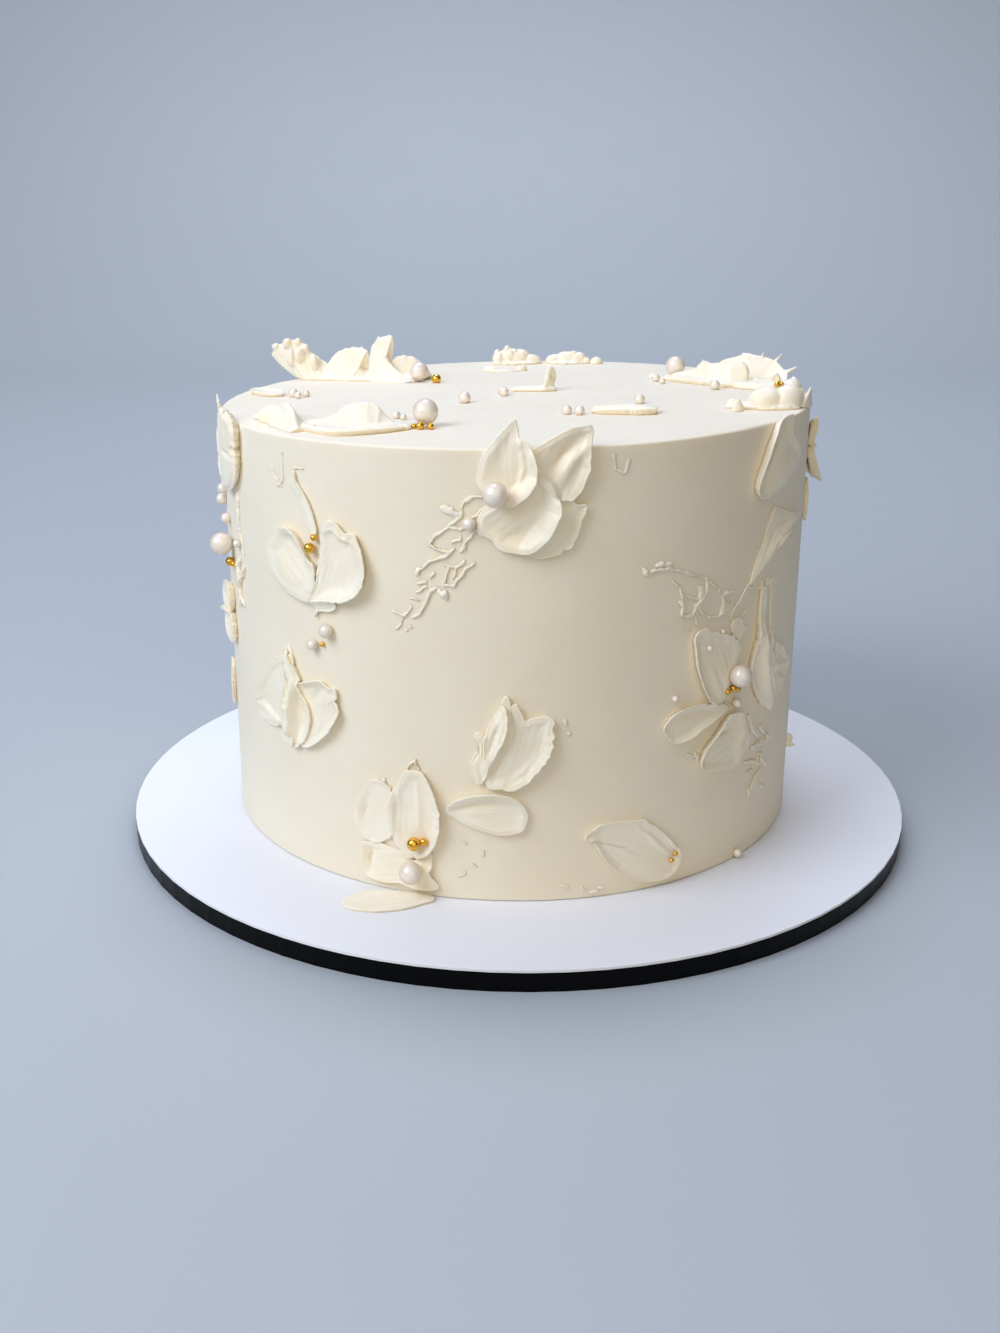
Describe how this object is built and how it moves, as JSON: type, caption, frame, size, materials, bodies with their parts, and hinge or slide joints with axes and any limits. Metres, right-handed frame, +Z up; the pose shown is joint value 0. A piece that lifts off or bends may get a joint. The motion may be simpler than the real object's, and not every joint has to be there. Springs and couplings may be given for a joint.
{
  "type": "cake",
  "caption": "Tall round buttercream cake on its own round board, with smooth straight sides, palette-knife petals, sugar pearls and gold beads.",
  "frame": {"origin": "centre of the underside of the board", "axes": "+Z up, -Y towards the front of the cake as pictured, +X to its right"},
  "size_m": [0.28, 0.28, 0.1671],
  "materials": {
    "iced_wall": "smooth satin cream buttercream, scraped flat",
    "buttercream_petal": "satin ivory buttercream, pulled with a palette knife",
    "sugar_pearl": "pearl lustre over hard sugar",
    "gold_bead": "polished gold coat on a hard sugar bead",
    "board_face": "smooth white laminate, satin",
    "board_core": "matte black laminate and edge band"
  },
  "bodies": {
    "root": {"back_leaf_base": "buttercream_petal", "back_leaf_rim": "buttercream_petal", "back_petal_high": "buttercream_petal", "back_petal_low": "buttercream_petal", "back_petal_side": "buttercream_petal", "base_petal_left": "buttercream_petal", "base_petal_low": "buttercream_petal", "base_petal_on_board": "buttercream_petal", "base_petal_small": "buttercream_petal", "base_petal_tall": "buttercream_petal", "board_core": "board_core", "board_face": "board_face", "cake_body": "iced_wall", "far_right_petal_back": "buttercream_petal", "far_right_petal_point": "buttercream_petal", "far_right_petal_spoon": "buttercream_petal", "far_right_petal_thin": "buttercream_petal", "front_petal_behind": "buttercream_petal", "front_petal_cupped": "buttercream_petal", "front_petal_left": "buttercream_petal", "front_petal_right": "buttercream_petal", "heart_petal_left": "buttercream_petal", "heart_petal_right": "buttercream_petal", "heart_stem": "buttercream_petal", "left_petal_low": "buttercream_petal", "left_petal_lower": "buttercream_petal", "left_petal_upper": "buttercream_petal", "left_rim_stroke": "buttercream_petal", "oval_petal": "buttercream_petal", "pearl_base_flower": "sugar_pearl", "pearl_front_flower": "sugar_pearl", "pearl_left_chain": "sugar_pearl", "pearl_right_flower": "sugar_pearl", "pearl_top_front": "sugar_pearl", "pearl_top_ribbon": "sugar_pearl", "pearl_top_right": "sugar_pearl", "right_petal_cupped": "buttercream_petal", "right_petal_lower": "buttercream_petal", "right_petal_outer": "buttercream_petal", "right_petal_side": "buttercream_petal", "right_petal_spear": "buttercream_petal", "rim_petal_right": "buttercream_petal", "shell_fold": "buttercream_petal", "shell_petal": "buttercream_petal", "shell_scrap": "buttercream_petal", "tilted_petal": "buttercream_petal", "top_bud": "buttercream_petal", "top_curl_stroke": "buttercream_petal", "top_front_cluster": "buttercream_petal", "top_ribbon_cluster": "buttercream_petal", "top_right_cluster": "buttercream_petal", "top_stroke_front": "buttercream_petal", "top_stroke_left": "buttercream_petal", "top_stroke_rear_left": "buttercream_petal", "top_stroke_rear_right": "buttercream_petal", "tulip_fold": "buttercream_petal", "tulip_petal_left": "buttercream_petal", "tulip_petal_right": "buttercream_petal", "wedge_stroke": "buttercream_petal"}
  },
  "joints": []
}
